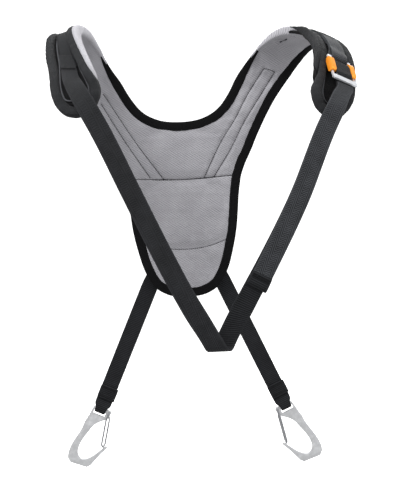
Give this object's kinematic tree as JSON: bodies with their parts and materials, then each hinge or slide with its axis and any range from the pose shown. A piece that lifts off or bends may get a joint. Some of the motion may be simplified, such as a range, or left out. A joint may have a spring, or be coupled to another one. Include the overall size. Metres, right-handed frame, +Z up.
{
  "type": "harness shoulder straps",
  "caption": "Padded Y-shaped harness shoulder straps with a double-back webbing buckle in front and webbing straps that end in wire-gate carabiners.",
  "frame": {"origin": "on the skin-side face of the back panel, on its centre line, at its upper seam", "axes": "+Z up the wearer's back, +X towards the shoulder that carries the buckle, -Y the way the wearer faces"},
  "size_m": [0.4366, 0.2716, 0.6543],
  "materials": {
    "lining_grey": "matte",
    "foam": "matte",
    "shell_black": "matte",
    "binding_black": "matte",
    "webbing": "matte",
    "buckle_silver": "satin",
    "buckle_orange": "satin",
    "carabiner_alloy": "satin",
    "gate_wire": "satin"
  },
  "bodies": {
    "yoke": {"upper_lining": "lining_grey", "upper_foam": "foam", "upper_shell": "shell_black", "neck_binding": "binding_black", "left_side_binding": "binding_black", "left_tab_binding": "binding_black", "left_neck_roll": "lining_grey", "left_outer_roll": "shell_black", "left_inner_roll": "shell_black", "right_side_binding": "binding_black", "right_tab_binding": "binding_black", "right_neck_roll": "lining_grey", "right_outer_roll": "shell_black", "right_inner_roll": "shell_black", "mid_lining": "lining_grey", "low_lining": "lining_grey", "mid_foam": "foam", "low_foam": "foam", "lower_shell": "shell_black", "base_binding": "binding_black", "right_shoulder_web": "webbing", "left_shoulder_web": "webbing", "anchor_loop": "webbing", "load_strap": "webbing", "buckle_frame": "buckle_silver"},
    "buckle_slider": {"buckle_slider": "buckle_orange"},
    "strap_tail": {"strap_tail": "webbing", "tail_stop": "webbing"},
    "left_back_strap": {"left_back_strap": "webbing", "left_loop_lap": "webbing"},
    "left_carabiner": {"left_carabiner": "carabiner_alloy"},
    "left_gate": {"left_gate": "gate_wire"},
    "right_back_strap": {"right_back_strap": "webbing", "right_loop_lap": "webbing"},
    "right_carabiner": {"right_carabiner": "carabiner_alloy"},
    "right_gate": {"right_gate": "gate_wire"}
  },
  "joints": [
    {"name": "buckle_slider_slide", "type": "slide", "parent": "yoke", "child": "buckle_slider", "axis": [0.0477, -0.5963, -0.8014], "range_m": [0, 0.002], "stiffness_N_per_m": 150, "springref_m": -0.0005},
    {"name": "strap_tail_lift", "type": "hinge", "parent": "yoke", "child": "strap_tail", "pos_m": [0.21492, -0.19256, 0.0961], "axis": [-0.8502, -0.4454, 0.2808], "range_deg": [0, 60]},
    {"name": "left_back_strap_swing", "type": "hinge", "parent": "yoke", "child": "left_back_strap", "pos_m": [-0.0608, 0.0117, -0.1653], "axis": [0.9121, 0, -0.4099], "range_deg": [-35, 35]},
    {"name": "left_carabiner_swing", "type": "hinge", "parent": "left_back_strap", "child": "left_carabiner", "pos_m": [-0.14073, 0.0117, -0.34316], "axis": [0.9121, 0, -0.4099], "range_deg": [-85, 85]},
    {"name": "left_gate_open", "type": "hinge", "parent": "left_carabiner", "child": "left_gate", "pos_m": [-0.12833, 0.0117, -0.34874], "axis": [0, 1, 0], "range_deg": [0, 27], "stiffness_Nm_per_rad": 0.02, "springref_deg": -20.05},
    {"name": "right_back_strap_swing", "type": "hinge", "parent": "yoke", "child": "right_back_strap", "pos_m": [0.0563, 0.0117, -0.1593], "axis": [0.9121, 0, 0.4099], "range_deg": [-35, 35]},
    {"name": "right_carabiner_swing", "type": "hinge", "parent": "right_back_strap", "child": "right_carabiner", "pos_m": [0.14156, 0.0117, -0.34902], "axis": [0.9121, 0, 0.4099], "range_deg": [-85, 85]},
    {"name": "right_gate_open", "type": "hinge", "parent": "right_carabiner", "child": "right_gate", "pos_m": [0.12916, 0.0117, -0.3546], "axis": [0, -1, 0], "range_deg": [0, 27], "stiffness_Nm_per_rad": 0.02, "springref_deg": -20.05}
  ]
}
